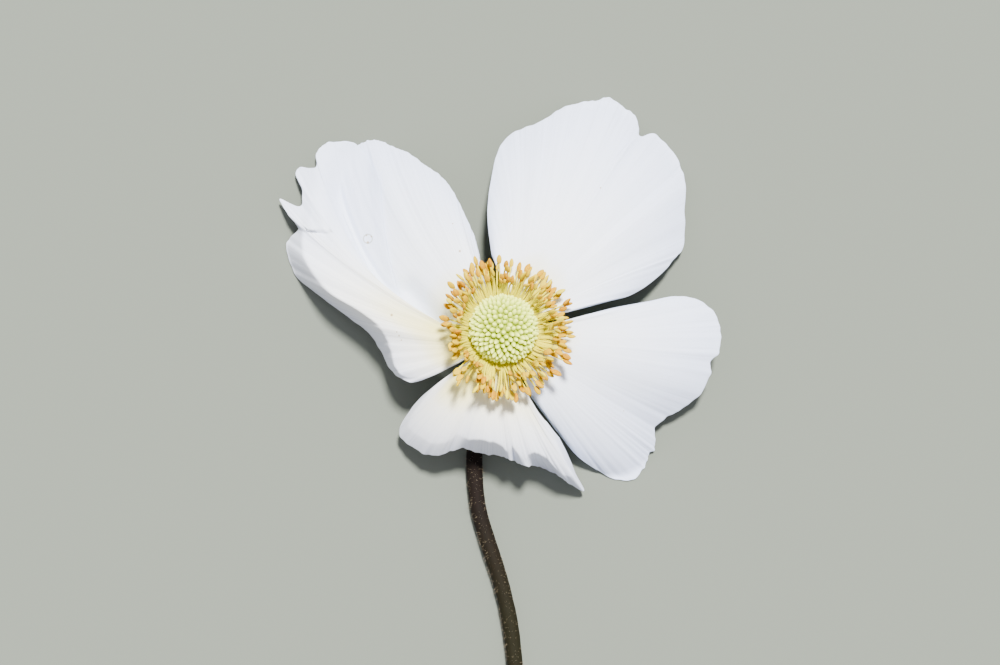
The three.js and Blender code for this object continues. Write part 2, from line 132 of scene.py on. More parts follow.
# %% Tepal margins
TEPALS = {
    "tepal_upper_right": dict(
        root=(78, 18), bow=(-14, 6), droop=(1.9, 1.9), belly=0.5, warmth=(0.05, 0.05),
        creases=[((18.5, 27.0, 14.6, 22.6), 0.35, 3.0)], margin=[
            (-1.6, 9.9, 9.0), (-2.2, 15.1, 7.4), (-1.9, 19.4, 6.0), (-1.1, 23.5, 4.4),
            (0.1, 26.1, 3.0), (2.5, 27.7, 2.0), (5.0, 28.6, 1.2), (7.2, 30.1, 0.4),
            (9.3, 31.1, -0.4), (11.7, 31.6, -0.9), (13.2, 31.8, -1.0), (14.6, 32.2, -1.0),
            (16.3, 31.0, -0.9), (17.8, 30.0, -0.6), (18.6, 28.7, -0.2), (18.8, 26.7, 0.4),
            (20.7, 27.1, 0.0), (22.8, 25.4, 0.0), (24.4, 22.9, 0.2), (25.1, 20.1, 0.6),
            (25.0, 15.9, 1.4), (24.8, 11.4, 2.6), (23.6, 9.9, 3.1), (21.7, 7.7, 4.0),
            (17.8, 4.9, 5.6), (13.8, 3.7, 7.2), (9.7, 2.6, 8.6)]),
    "tepal_right": dict(
        root=(6, -59), bow=(-4, -1), droop=(1.7, 1.7), belly=0.45, warmth=(0.1, 0.0), folds=0.3,
        margin=[
            (9.8, 1.4, 9.2), (14.4, 2.7, 8.2), (19.6, 3.7, 7.0), (23.0, 4.4, 6.3),
            (25.5, 4.3, 5.7), (27.8, 3.3, 5.4), (29.3, 1.4, 5.3), (29.7, -0.8, 5.4),
            (29.5, -3.1, 5.2), (28.3, -4.5, 5.0), (28.3, -6.3, 4.6), (26.8, -9.1, 4.0),
            (24.4, -11.0, 3.4), (22.5, -12.1, 2.8), (20.9, -13.5, 2.0), (20.9, -15.4, 1.0),
            (20.8, -16.7, 0.5), (20.1, -17.2, 0.3), (19.8, -18.4, -0.3), (19.3, -19.4, -0.6),
            (18.1, -20.8, -0.9), (15.7, -20.9, -0.9),
            (13.3, -19.7, -0.2), (10.0, -17.3, 2.2), (6.7, -13.2, 5.4), (3.7, -9.2, 8.6)]),
    "tepal_lower": dict(
        root=(291, 232), bow=(-12, -3), droop=(2.2, 2.2), belly=0.9, warmth=(0.5, 1.8),
        margin=[
            (7.5, -14.8, 6.8, 7.8), (9.0, -17.9, 4.2, 7.2), (9.9, -20.1, 1.8, 5.6),
            (11.0, -22.3, -0.4, 1.0), (9.0, -21.2, 3.4, 4.6, 1.6), (8.1, -20.5, 4.7, 5.7, 1.4),
            (7.3, -20.1, 1.2, 6.6, 2.8), (6.0, -19.5, 0.8, 7.4, 2.9), (4.6, -18.9, 1.8, 7.9, 2.4),
            (3.4, -18.7, 7.2, 7.8, 1.4),
            (2.6, -18.5, 7.4, 7.8, 1.4), (1.6, -18.1, 5.2, 8.0, 2.4), (0.7, -17.7, 7.9, 8.3, 1.2),
            (-0.3, -17.4, 4.4, 8.7, 1.8), (-1.9, -17.2, 3.9, 8.9, 2.1), (-3.7, -16.9, 4.6, 9.0, 2.1),
            (-5.5, -16.2, 6.8, 8.2, 1.5), (-7.2, -16.6, 6.5, 7.1, 2.6), (-8.9, -17.2, 5.7, 6.4, 2.2),
            (-10.7, -17.1, 5.1, 5.8, 2.0), (-12.8, -16.0, 5.0, 5.6, 2.0), (-14.4, -14.4, 5.0, 5.6, 2.0),
            (-13.4, -12.0, 5.8, 6.8), (-11.2, -9.3, 7.8, 8.2), (-8.4, -7.1, 9.2), (-6.8, -6.0, 9.7)]),
    "tepal_left": dict(
        root=(218.5, 196), bow=(7, 76), droop=(1.6, 1.9), belly=0.3, warmth=(2.0, 0.0),
        rests_on="tepal_upper_left",
        creases=[((-27.8, 13.6, -23.4, 13.3), 0.7, 2.5)], margin=[
            (-5.9, -4.3, 10.3), (-8.7, -5.7, 10.0), (-11.9, -7.1, 9.2), (-14.0, -6.7, 8.0, 8.6, 0.8),
            (-15.9, -4.9, 4.6, 8.2, 1.1), (-17.4, -2.1, 2.4, 8.0, 2.0), (-19.2, 0.0, 1.4, 8.0, 3.0),
            (-22.2, 2.2, 1.2, 7.9, 5.2), (-25.8, 4.9, 1.2, 7.5, 6.4), (-28.6, 7.2, 1.5, 7.0, 5.5),
            (-30.0, 10.3, 1.7, 6.4, 4.2), (-29.9, 12.4, 1.8, 5.4, 2.9), (-28.3, 13.8, 2.1, 3.2, 1.0),
            (-29.7, 15.8, 2.2), (-31.0, 18.0, 1.8), (-28.2, 16.9, 2.8), (-27.8, 19.2, 3.0),
            (-28.7, 21.1, 2.6), (-28.4, 22.4, 2.5), (-26.1, 22.3, 3.0), (-25.9, 24.4, 2.7),
            (-24.9, 25.6, 2.5), (-23.1, 26.0, 2.3), (-20.6, 25.7, 2.5), (-18.6, 23.2, 3.2),
            (-17.1, 20.5, 4.1)]),
    "tepal_upper_left": dict(
        root=(160, 96), bow=(66, 8), droop=(1.0, 1.7), belly=0.2, warmth=(0.0, 0.1),
        dips=[((-12.9, 5.0, -9.0, 0.8), 1.3, 1.7)], margin=[
            (-21.0, 13.0, 0.8), (-22.6, 17.2, 0.0), (-22.4, 21.6, -0.6), (-21.6, 24.6, -0.9),
            (-20.1, 25.6, -1.0), (-18.7, 26.2, -1.0), (-17.1, 26.1, -1.0), (-15.4, 25.3, -0.6),
            (-13.1, 24.3, 0.6), (-11.0, 22.7, 1.8), (-9.1, 21.4, 2.5), (-7.6, 19.8, 3.2),
            (-6.3, 17.6, 4.2), (-4.9, 14.6, 5.8), (-3.9, 12.1, 7.4), (-3.6, 9.6, 8.6)]),
}

print(sum(len(tepal["margin"]) for tepal in TEPALS.values()), "margin points")

# %% [markdown]
# ## From margins to blades
#
# The margin is smoothed into many fine columns. The blade heads for heights that are evened out
# over neighbouring points, so that a tooth or a notch in the margin leaves no crease down to the
# root. Where a margin is turned down, the blade drops over its last millimetres. On top of that
# come the things that a real tepal has: slow folds along its length, fine raised veins, a slightly
# frilled edge, and here and there a crease or a dip. All of it is plain arithmetic on arrays, which
# keeps every point of the grid in step with the material's veins.

# %% Blends and smooth curves
EVENING = 7.0                     # degrees of the fan over which heights are evened out


def smoothstep(value, low, high):
    """Goes smoothly from 0 at low to 1 at high."""
    t = np.clip((value - low) / (high - low), 0, 1)
    return t * t * (3 - 2 * t)


def mix(a, b, t):
    return a + (b - a) * t


def through(points, steps):
    """A smooth curve through points (a Catmull-Rom spline), with steps pieces for each gap."""
    points = np.asarray(points, dtype=float)
    ends = np.vstack([2 * points[0] - points[1], points, 2 * points[-1] - points[-2]])
    t = np.linspace(0, 1, steps, endpoint=False)[:, None]
    runs = []
    for a, b, c, d in zip(ends, ends[1:], ends[2:], ends[3:]):
        runs.append(0.5 * (2 * b + (c - a) * t + (2 * a - 5 * b + 4 * c - d) * t ** 2
                           + (3 * b - a - 3 * c + d) * t ** 3))
    return np.vstack(runs + [points[-1:]])


def evened(values, bearing):
    """Each value averaged with those of nearby bearings, in degrees."""
    weights = np.exp(-0.5 * ((bearing[:, None] - bearing[None, :]) / EVENING) ** 2)
    return weights @ values / weights.sum(axis=1)


# %% Folds, veins and frills
# Height, count across the fan, and the stretch of the way out over which they come up.
FOLDS = (0.22, 4, (0.15, 0.9))
VEINS = (0.02, 27, (0.1, 0.6))
FRILL, FRILLS = 0.12, 19          # how far the margin waves in and out, and how often
SINES = ((1.0, 1.0), (0.7, 1.63), (0.5, 2.41))    # each one's strength, and its pace


def ripple(across, waves, draws):
    """A soft irregular wave over 0 to 1, made of three sines near the wanted count."""
    total = np.zeros_like(across)
    for strength, pace in SINES:
        phase, stretch = draws.uniform(0, 2 * math.pi), draws.uniform(0.9, 1.1)
        total += strength * np.sin(2 * math.pi * waves * pace * stretch * across + phase)
    return total / sum(strength for strength, _ in SINES)


# %% Creases and dips
CREASE_SOFTNESS = 0.15            # a crease rises over this far on both sides of its line


def beside_line(points, x, y, to_x, to_y):
    """How far along a line each point is and how far to its left, and the line's length."""
    length = math.hypot(to_x - x, to_y - y)
    along = np.array([to_x - x, to_y - y]) / length
    offset = points - np.array([x, y])
    return offset @ along, offset @ np.array([-along[1], along[0]]), length


def crease(points, line, lift, back):
    """Height that a crease adds. It comes up near the line's start and runs out at its end."""
    run, left, length = beside_line(points, *line)
    side = smoothstep(left, -CREASE_SOFTNESS, CREASE_SOFTNESS) * np.exp(-np.maximum(left, 0) / back)
    share = run / length
    return lift * side * smoothstep(share, -0.1, 0.3) * (1 - smoothstep(share, 0.6, 1.1))


def dip(points, line, depth, width):
    """Depth of a soft valley along a line."""
    run, left, length = beside_line(points, *line)
    past = run - np.clip(run, 0, length)
    return depth * np.exp(-(left ** 2 + past ** 2) / width ** 2)


# %% The height of a tepal underneath
def beneath(places, surface):
    """Height of a surface under each x and y, and how far beside the surface that place is."""
    columns, rows = surface.shape[:2]
    corner = np.arange(columns * rows).reshape(columns, rows)
    a, b, c, d = corner[:-1, :-1], corner[1:, :-1], corner[1:, 1:], corner[:-1, 1:]
    triangles = np.concatenate([np.stack([a, b, c], -1), np.stack([a, c, d], -1)]).reshape(-1, 3)
    solid = [Vector(point) for point in surface.reshape(-1, 3)]
    flat = [Vector((point.x, point.y, 0)) for point in solid]
    search = BVHTree.FromPolygons(flat, triangles.tolist())
    found = []
    for x, y in places.reshape(-1, 2):
        near, _, face, offset = search.find_nearest((x, y, 0))
        ends = [int(k) for k in triangles[face]]
        on = barycentric_transform(near, *(flat[k] for k in ends), *(solid[k] for k in ends))
        found.append((on.z, offset))
    heights, offsets = np.array(found).T.reshape(2, *places.shape[:2])
    return heights, offsets


# %% Smooth columns from a margin
ROOT_RADIUS = 3.0
LIP = 3.0                         # a turned-down margin starts to drop this far in
TOUCH = 0.2                       # lowest height that a drooping margin heads for
BY_BEARING = 0.7                  # how far the fan follows bearings, and not the count of points
COLUMNS_PER_GAP = 12


def filled(x, y, height, crest=None, lip=LIP):
    """A margin's point with its crest's height and the width of its lip."""
    return x, y, height, height if crest is None else crest, lip


def margin_columns(tepal):
    """Along the smoothed margin: x, y, drop of the lip, its width, crest, reach and place in the fan."""
    margin = np.array([filled(*point) for point in tepal["margin"]])
    from_middle = margin[:, :2] - HEAD[:2]
    reach = np.hypot(*from_middle.T) - ROOT_RADIUS
    bearing = np.degrees(np.unwrap(np.arctan2(from_middle[:, 1], from_middle[:, 0])))
    turned_down = margin[:, 3] - margin[:, 2]
    crest = evened(np.maximum(margin[:, 3], TOUCH), bearing)
    turned = evened(bearing, bearing)
    by_bearing = (turned - turned[0]) / (turned[-1] - turned[0])
    fan = mix(np.linspace(0, 1, len(margin)), by_bearing, BY_BEARING)
    rows = np.column_stack([
        margin[:, :2], turned_down, margin[:, 4], crest, evened(reach, bearing), fan])
    return [column[:, None] for column in through(rows, COLUMNS_PER_GAP).T]


# %% The blade's middle surface
ROWS = 88
ROW_CROWDING = 1.35               # above 1 the rows crowd toward the margin
BELLY_PEAK = 4 / 27               # the most that out ** 2 * (1 - out) comes to
LIP_ROUNDING = 1.2                # 1 for a knife-edge fold, more for a rounder one
LAP_GAP = 0.42                    # between the middles of a tepal and of the one it rests on
LAP_ACROSS, LAP_OUT = (0.55, 0.94), (0.12, 0.4)    # where a tepal settles onto the one below
LAP_FADE = 2.5                    # how far beside that one it still feels it
PRESS_BLEND = 0.5                 # how softly a tepal flattens onto the table
BLADE_HALF_THICKNESS = 0.16


def blade_middle(tepal, draws, under=None):
    """Middle surface of a tepal, as columns by rows of points, with its across and out values."""
    x, y, drop, lip, crest, reach, fan = margin_columns(tepal)
    across = np.linspace(0, 1, len(x))[:, None]
    out = 1 - (1 - np.linspace(0, 1, ROWS + 1)[None, :]) ** ROW_CROWDING

    angle = np.radians(mix(*tepal["root"], across))
    root_x = HEAD[0] + ROOT_RADIUS * np.cos(angle)
    root_y = HEAD[1] + ROOT_RADIUS * np.sin(angle)
    root_z = HEAD[2] - LEAN[0] * (root_x - HEAD[0]) - LEAN[1] * (root_y - HEAD[1])

    frill = FRILL * ripple(across, FRILLS, draws)
    length = np.hypot(x - root_x, y - root_y)
    x, y = x + frill * (x - root_x) / length, y + frill * (y - root_y) / length
    bow = tepal["bow"][0] * (1 - across) ** 3 + tepal["bow"][1] * across ** 3
    heading = np.arctan2(y - root_y, x - root_x) + np.radians(bow)
    middle_x = root_x + 0.5 * length * np.cos(heading)
    middle_y = root_y + 0.5 * length * np.sin(heading)
    a, b, c = (1 - out) ** 2, 2 * out * (1 - out), out ** 2
    flat = np.dstack([a * root_x + b * middle_x + c * x, a * root_y + b * middle_y + c * y])

    fall = (out * length / reach) ** mix(*tepal["droop"], across)
    belly = tepal["belly"] * out ** 2 * (1 - out) / BELLY_PEAK
    height = root_z + (crest - root_z) * fall + belly
    into_lip = np.clip(1 - (1 - out) * length / lip, 0, 1)
    height = height - np.maximum(drop, 0) * into_lip ** LIP_ROUNDING
    waves = sum(rise * ripple(fan, count, draws) * smoothstep(out, *stretch)
                for rise, count, stretch in (FOLDS, VEINS))
    height = height + tepal.get("folds", 1.0) * waves
    if under is not None:
        rest, beside = beneath(flat + BLOOM[:2], under)
        lapped = smoothstep(across, *LAP_ACROSS) * smoothstep(out, *LAP_OUT)
        height = mix(height, rest + LAP_GAP, lapped * np.exp(-(beside / LAP_FADE) ** 2))
    height = height + sum(crease(flat, *line) for line in tepal.get("creases", ()))
    height = height - sum(dip(flat, *line) for line in tepal.get("dips", ()))

    floor = BLADE_HALF_THICKNESS
    overlap = np.maximum(PRESS_BLEND - np.abs(height - floor), 0) / PRESS_BLEND
    height = np.maximum(height, floor) + overlap ** 2 * PRESS_BLEND / 4
    surface = np.dstack([flat, height]) + BLOOM
    return surface, np.broadcast_to(fan, height.shape), np.broadcast_to(out, height.shape)


# %% [markdown]
# ## Thickness and edges
#
# A tepal is about a third of a millimetre thick, and thins to its edge. Solidify could give that
# thickness, but the blade is a plain grid, so its two faces are placed directly along the surface's
# normals, and a strip of quads closes the rim. Each point keeps its across and out values as a UV
# map, which the material's veins will follow, and its warmth as an attribute.

# %% Build a blade
EDGE_HALF_THICKNESS = 0.08
EDGE_FROM = 0.8                   # a blade thins from this far out


def new_mesh(name, points, faces=(), edges=()):
    """An object from points in millimetres."""
    mesh = bpy.data.meshes.new(name)
    mesh.from_pydata((np.asarray(points) * MM).tolist(), edges, faces)
    mesh.update()
    piece = bpy.data.objects.new(name, mesh)
    bpy.context.scene.collection.objects.link(piece)
    return piece


def keep_values(mesh, name, values):
    """Keeps one number for each point, which a material or a node tree can read by name."""
    mesh.attributes.new(name, "FLOAT", "POINT").data.foreach_set("value", values)


def blade(name, tepal, draws, under=None):
    """One finished tepal."""
    middle, across, out = blade_middle(tepal, draws, under)
    normal = np.cross(np.gradient(middle, axis=0), np.gradient(middle, axis=1))
    normal /= np.linalg.norm(normal, axis=2, keepdims=True)
    edge = smoothstep(out, EDGE_FROM, 1.0)[..., None]
    half = mix(BLADE_HALF_THICKNESS, EDGE_HALF_THICKNESS, edge)
    columns, rows = middle.shape[:2]
    top = np.arange(columns * rows).reshape(columns, rows)
    back = top + columns * rows

    faces = np.stack([top[:-1, :-1], top[1:, :-1], top[1:, 1:], top[:-1, 1:]], -1).reshape(-1, 4)
    backs = np.stack([back[:-1, :-1], back[:-1, 1:], back[1:, 1:], back[1:, :-1]], -1)
    rim = np.concatenate([top[:-1, 0], top[-1, :-1], top[:0:-1, -1], top[0, :0:-1]])
    after = np.roll(rim, -1)
    rim_faces = np.stack([rim + columns * rows, after + columns * rows, after, rim], -1)
    faces = np.concatenate([faces, backs.reshape(-1, 4), rim_faces])
    points = np.concatenate([(middle + normal * half).reshape(-1, 3),
                             (middle - normal * half).reshape(-1, 3)])

    piece = new_mesh(name, points, faces.tolist())
    mesh = piece.data
    mesh.shade_smooth()
    grid = np.tile(np.column_stack([across.ravel(), out.ravel()]), (2, 1))
    corners = np.empty(len(mesh.loops), dtype=np.int32)
    mesh.loops.foreach_get("vertex_index", corners)
    mesh.uv_layers.new(name="across_out").data.foreach_set("uv", grid[corners].ravel())
    keep_values(mesh, "warmth", np.interp(grid[:, 0], (0, 1), tepal["warmth"]))
    return piece


# %% The five tepals
FIRST_SEED = 3


def draws_for(name):
    """A tepal's own random draws, the same each time they are asked for."""
    return np.random.default_rng(FIRST_SEED + list(TEPALS).index(name))


blades = {}
for name, tepal in TEPALS.items():
    lower_one, under = tepal.get("rests_on"), None
    if lower_one:
        under = blade_middle(TEPALS[lower_one], draws_for(lower_one))[0]
    blades[name] = blade(name + "_blade", tepal, draws_for(name), under)
    size = np.array(blades[name].dimensions) / MM
    print(name, "is", size.round(1), "mm overall")

# %% [markdown]
# ## Colours, nodes and finished pieces
#
# Colours are given as sRGB hex, as a paint chart gives them, and Blender shades in linear light.
# A node tree is long to write by hand, so one function adds a node with its settings and fills its
# inputs with values and links. Patterns have their sizes in counts a millimetre. A finished piece
# rides on the flower's one body, and may stand for a solid.

# %% Helpers for materials and pieces
def linear(hex_colour):
    """An sRGB hex colour as linear RGBA."""
    channels = [int(hex_colour[k:k + 2], 16) / 255 for k in (1, 3, 5)]
    return [c / 12.92 if c <= 0.04045 else ((c + 0.055) / 1.055) ** 2.4 for c in channels] + [1.0]


def fill(node, inputs):
    """Gives each input a value, or a link from a socket or from a node's first output in use."""
    for key, value in inputs.items():
        if isinstance(value, bpy.types.Node):
            value = next(output for output in value.outputs if output.enabled)
        if isinstance(value, bpy.types.NodeSocket):
            node.id_data.links.new(value, node.inputs[key])
        else:
            node.inputs[key].default_value = value
    return node


def add(tree, kind, inputs=None, **settings):
    """Adds a node with its settings and inputs."""
    node = tree.nodes.new(kind)
    for name, value in settings.items():
        setattr(node, name, value)
    return fill(node, inputs or {})


def new_material(name):
    """A new material, with its node tree and its shader."""
    material = bpy.data.materials.new(name)
    material.use_nodes = True
    return material, material.node_tree, material.node_tree.nodes["Principled BSDF"]


def finish_piece(piece, slot, *nodes):
    """A finished piece rides on the flower, and may stand for solids."""
    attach(piece, "root")
    if nodes:
        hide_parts(*nodes)
    triangles = sum(len(p.vertices) - 2 for p in piece.data.polygons)
    print(piece.name, "has", triangles, "triangles")


# %% [markdown]
# ## Living white tepals
#
# A white petal has no white pigment. Its cells scatter light inside it, so it looks soft and a little
# translucent, and warmer and greener toward the root. Toward the margin, where the blade droops away
# from the lamp, its white is painted darker and cooler: painted shade. Veins are thin lines that fan
# out with the rays. They could be painted on an image, but noise can draw them in the blade's own
# across and out space: stretched along *out* it gives fine lines, and a second, coarser layer makes
# some veins stronger. Their grey-blue, stronger toward the margin, is partly the veins' own tone and
# partly painted shade of their ridges. Weather and insects have left a few small brown specks and one
# ring, which are drawn by their distance from a spot.

# %% Colour of the tissue
VEINS_ACROSS = 95                 # lines drawn across one fan
VEIN_STRETCH = 1.3                # their changes on the way out


def tissue_colour(tree):
    """A tepal's colour by its across and out values, and how strong the veins are."""
    grid = add(tree, "ShaderNodeUVMap", uv_map="across_out")
    out = add(tree, "ShaderNodeSeparateXYZ", {"Vector": grid}).outputs["Y"]
    drawn = add(tree, "ShaderNodeMapping", {"Vector": grid, "Scale": (VEINS_ACROSS, VEIN_STRETCH, 1)})
    fine = add(tree, "ShaderNodeTexNoise", {
        "Vector": drawn, "Scale": 1.0, "Detail": 3.0, "Roughness": 0.6})
    broad = add(tree, "ShaderNodeMapping", {
        "Vector": grid, "Scale": (VEINS_ACROSS / 4, VEIN_STRETCH / 2, 1)})
    coarse = add(tree, "ShaderNodeTexNoise", {"Vector": broad, "Scale": 1.0, "Detail": 2.0})
    vein = add(tree, "ShaderNodeMapRange", {"Value": fine, "From Min": 0.52, "From Max": 0.72})
    toward_margin = add(tree, "ShaderNodeMapRange", {
        "Value": out, "From Min": 0.45, "From Max": 0.95, "To Min": 0.2, "To Max": 1.0})
    # Vein lines, stronger toward the margin: partly the veins' own grey-blue, partly painted shade of
    # their ridges.
    spread = add(tree, "ShaderNodeMath", {0: vein, 1: coarse}, operation="MULTIPLY")
    strong = add(tree, "ShaderNodeMath", {0: spread, 1: toward_margin}, operation="MULTIPLY")

    warmth = add(tree, "ShaderNodeAttribute", attribute_name="warmth").outputs["Fac"]
    near_root = add(tree, "ShaderNodeMapRange", {
        "Value": out, "From Min": 0.05, "From Max": 0.6, "To Min": 1.0, "To Max": 0.0})
    root_glow = add(tree, "ShaderNodeMath", {0: near_root, 1: warmth}, operation="MULTIPLY")
    in_claw = add(tree, "ShaderNodeMapRange", {
        "Value": out, "From Min": 0.08, "From Max": 0.3, "To Min": 0.8, "To Max": 0.0})
    streak = add(tree, "ShaderNodeMath", {0: vein, 1: root_glow}, operation="MULTIPLY")
    inner = add(tree, "ShaderNodeMix", {
        "Factor": warmth, "A": linear("#ecf2fd"), "B": linear("#faf3cc")}, data_type="RGBA")
    # Toward the margin the white turns darker and cooler: painted shade, where the blade droops away
    # from the lamp.
    painted_shade_outer = add(tree, "ShaderNodeMix", {
        "Factor": warmth, "A": linear("#d2ddf9"), "B": linear("#eaeffc")}, data_type="RGBA")
    colour = add(tree, "ShaderNodeMix", {
        "Factor": toward_margin, "A": inner, "B": painted_shade_outer}, data_type="RGBA")
    for share, tint in [(root_glow, "#f2e060"), (in_claw, "#e8dc50"), (strong, "#bcc4dc"),
                        (streak, "#ccd070")]:
        colour = add(tree, "ShaderNodeMix", {"Factor": share, "A": colour, "B": linear(tint)},
                     data_type="RGBA")
    return colour, strong


# %% Specks and a ring
SPECKS = [  # x, y and radius
    (-18.7, 11.9, 0.24), (-18.9, 12.9, 0.16), (-18.2, 12.7, 0.16), (-6.0, 10.6, 0.22),
    (-15.2, 1.9, 0.24), (-14.5, -0.4, 0.12), (-14.2, -0.9, 0.14), (-13.9, -1.5, 0.12),
    (13.2, 19.3, 0.14), (-7.0, 14.4, 0.12), (24.0, 9.1, 0.1), (16.4, -11.2, 0.1),
]
RING = (-18.7, 12.4, 0.62)        # x, y and radius of the middle of its line
RING_LINE = 0.12                  # from the middle of the ring's line to its edge
MARK_CORE = 0.4                   # share of a mark's radius that has its full tint


def marked(tree, colour, distance, radius, strength, tint):
    """Lays a tint over a colour where a distance, in metres, is under a radius in millimetres."""
    share = add(tree, "ShaderNodeMapRange", {
        "Value": distance, "From Min": radius * MARK_CORE * MM, "From Max": radius * MM,
        "To Min": strength, "To Max": 0.0})
    return add(tree, "ShaderNodeMix", {"Factor": share, "A": colour, "B": linear(tint)},
               data_type="RGBA")


def with_marks(tree, colour, place):
    """Adds the specks and the ring, by how far a place is from them seen from above."""
    flat = add(tree, "ShaderNodeVectorMath", {0: place, 1: (1, 1, 0)}, operation="MULTIPLY")
    distances = [add(tree, "ShaderNodeVectorMath", {
        0: flat, 1: tuple((BLOOM + [x, y, 0]) * MM)}, operation="DISTANCE")
        for x, y, _ in SPECKS + [RING]]
    for (_, _, radius), distance in zip(SPECKS, distances):
        colour = marked(tree, colour, distance, radius, 0.85, "#a08450")
    off_line = add(tree, "ShaderNodeMath", {0: distances[-1], 1: RING[2] * MM}, operation="SUBTRACT")
    beside_line = add(tree, "ShaderNodeMath", {0: off_line}, operation="ABSOLUTE")
    return marked(tree, colour, beside_line, RING_LINE, 0.6, "#868a74")


# %% Tepal material
CELLS_PER_MM = 2.5                # drawn some ten times as large as real ones, so that they show


# Air-filled living tissue under a skin of tiny domed cells: a matt white with no clear highlight,
# which lets a little light through.
def tepal_surface():
    material, tree, shader = new_material("white_tepal_tissue")
    place = add(tree, "ShaderNodeTexCoord").outputs["Object"]
    colour, veins = tissue_colour(tree)
    cells = add(tree, "ShaderNodeTexNoise", {
        "Vector": place, "Scale": CELLS_PER_MM / MM, "Detail": 2.0})
    relief = add(tree, "ShaderNodeMath", {0: veins, 1: 1.0, 2: cells}, operation="MULTIPLY_ADD")
    bump = add(tree, "ShaderNodeBump", {"Height": relief, "Strength": 0.25, "Distance": 0.05 * MM})
    fill(shader, {
        "Base Color": with_marks(tree, colour, place), "Normal": bump, "Roughness": 0.58, "IOR": 1.4,
        "Subsurface Weight": 0.3, "Subsurface Radius": (1.0, 0.95, 0.9),
        "Subsurface Scale": 0.6 * MM, "Sheen Weight": 0.1})
    return material


tepal_material = tepal_surface()
for name, piece in blades.items():
    piece.data.materials.append(tepal_material)
    finish_piece(piece, "tepal", name)

# %% [markdown]
# ## Sweeping along paths
#
# The stalk and the filaments are the same kind of thing: a round strand along a path, whose
# thickness changes on the way. A Curve object could carry a bevel, but a node tree keeps the
# sizes as inputs and works for one path or for two hundred. Each path is a chain of edges whose
# points carry a girth, and the tree turns chains into curves and curves into tubes.

# %% Geometry Nodes helpers
def new_tree(name, **inputs):
    """A geometry tree with named inputs: each is a Float, an Int, a Material or an Object."""
    tree = bpy.data.node_groups.new(name, "GeometryNodeTree")
    tree.interface.new_socket("Geometry", in_out="INPUT", socket_type="NodeSocketGeometry")
    for label, kind in inputs.items():
        tree.interface.new_socket(label, in_out="INPUT", socket_type="NodeSocket" + kind)
    tree.interface.new_socket("Geometry", in_out="OUTPUT", socket_type="NodeSocketGeometry")
    return tree, add(tree, "NodeGroupInput").outputs


def end_tree(tree, geometry, material):
    """Ends a tree: instances are made real, because an export drops them, and painted."""
    real = add(tree, "GeometryNodeRealizeInstances", {"Geometry": geometry})
    painted = add(tree, "GeometryNodeSetMaterial", {"Geometry": real, "Material": material})
    add(tree, "NodeGroupOutput", {"Geometry": painted})
    return tree


def run_tree(piece, tree, name, **values):
    """Runs a tree on a piece and returns the result as a plain mesh object of that name."""
    modifier = piece.modifiers.new(tree.name, "NODES")
    modifier.node_group = tree
    for socket in tree.interface.items_tree:
        if socket.item_type == "SOCKET" and socket.name in values:
            modifier[socket.identifier] = values[socket.name]
    evaluated = piece.evaluated_get(bpy.context.evaluated_depsgraph_get())
    mesh = bpy.data.meshes.new_from_object(evaluated)
    result = bpy.data.objects.new(name, mesh)
    bpy.context.scene.collection.objects.link(result)
    piece.modifiers.remove(modifier)
    bpy.data.objects.remove(piece)
    return result


# %% The sweep
def sweep_tree():
    """Turns chains of edges into tubes that are as thick as their points' girths, in millimetres."""
    tree, given = new_tree("sweep", Sides="Int", Material="Material")
    curves = add(tree, "GeometryNodeMeshToCurve", {"Mesh": given["Geometry"]})
    section = add(tree, "GeometryNodeCurvePrimitiveCircle", {
        "Resolution": given["Sides"], "Radius": MM})
    girth = add(tree, "GeometryNodeInputNamedAttribute", {"Name": "girth"}, data_type="FLOAT")
    tube = add(tree, "GeometryNodeCurveToMesh", {
        "Curve": curves, "Profile Curve": section, "Scale": girth, "Fill Caps": True})
    smooth = add(tree, "GeometryNodeSetShadeSmooth", {"Geometry": tube})
    return end_tree(tree, smooth, given["Material"])


def paths_object(name, paths, girths):
    """Chains of edges from lists of points, with a girth for each point."""
    points, edges, start = [], [], 0
    for path in paths:
        points.extend(path)
        edges.extend((k, k + 1) for k in range(start, start + len(path) - 1))
        start += len(path)
    piece = new_mesh(name, points, edges=edges)
    keep_values(piece.data, "girth", np.concatenate(girths))
    return piece


sweep = sweep_tree()

# %% [markdown]
# ## The stalk
#
# An anemone's stalk is a soft, slightly ribbed stem in fine down. Its colour, brown under the flower
# and more olive lower down, is darkened to near black: painted shade. Its top widens into the
# receptacle, the yellow-green knob that every part of the bloom grows from. The two could be modelled
# apart and joined, but they grew as one, so here both are one sweep: the path starts on the head's
# axis, where the girth is widest.

# %% Stalk material
RIBS_ACROSS, RIBS_ALONG = 2.6, 0.13    # changes a millimetre
FLUSHES = 0.09                    # broad changes of colour a millimetre
OLIVE = (24, 40)                  # it turns olive between these distances from the bloom's middle
KNOB = (2.6, 3.6)                 # the knob's colour fades between these distances from its middle
